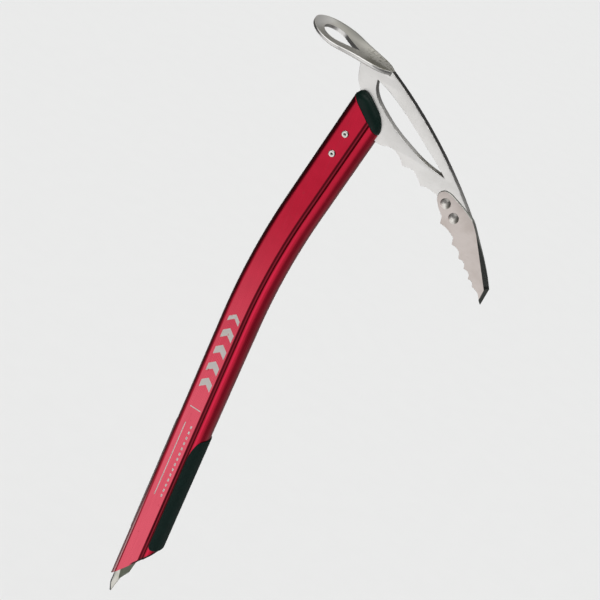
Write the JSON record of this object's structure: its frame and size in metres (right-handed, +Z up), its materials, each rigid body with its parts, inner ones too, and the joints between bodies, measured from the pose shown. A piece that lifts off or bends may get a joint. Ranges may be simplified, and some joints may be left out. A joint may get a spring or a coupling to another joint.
{
  "type": "ice axe",
  "caption": "Lightweight bent-shaft ice axe: alloy head with looped adze, riveted steel pick tip, grip pads and an oblique foot with a steel spike.",
  "frame": {"origin": "the point of the spike, at the foot of the shaft", "axes": "+Z up along the straight lower part of the shaft, +X towards the pick, -Y the side that carries the proud face of the steel tip; the axe is upright, as held by its point"},
  "size_m": [0.1854, 0.0414, 0.5079],
  "materials": {
    "head_alloy": "fine shot-blasted and polished on the edges",
    "tip_steel": "bead-blasted stainless steel with ground edges",
    "rivet_steel": "smooth, domed",
    "shaft_red": "red anodised, satin gloss",
    "insert_black": "moulded, soft sheen",
    "grip_rubber": "moulded, matt",
    "spike_steel": "ground stainless steel"
  },
  "bodies": {
    "root": {"shaft": "shaft_red", "head": "head_alloy", "pick_tip": "tip_steel", "pick_rivet_upper": "rivet_steel", "pick_rivet_lower": "rivet_steel", "head_rivet_upper": "rivet_steel", "head_rivet_lower": "rivet_steel", "head_insert_left": "insert_black", "head_insert_right": "insert_black", "grip_pad_front": "grip_rubber", "grip_pad_rear": "grip_rubber", "spike": "spike_steel", "spike_plug": "insert_black"}
  },
  "joints": []
}
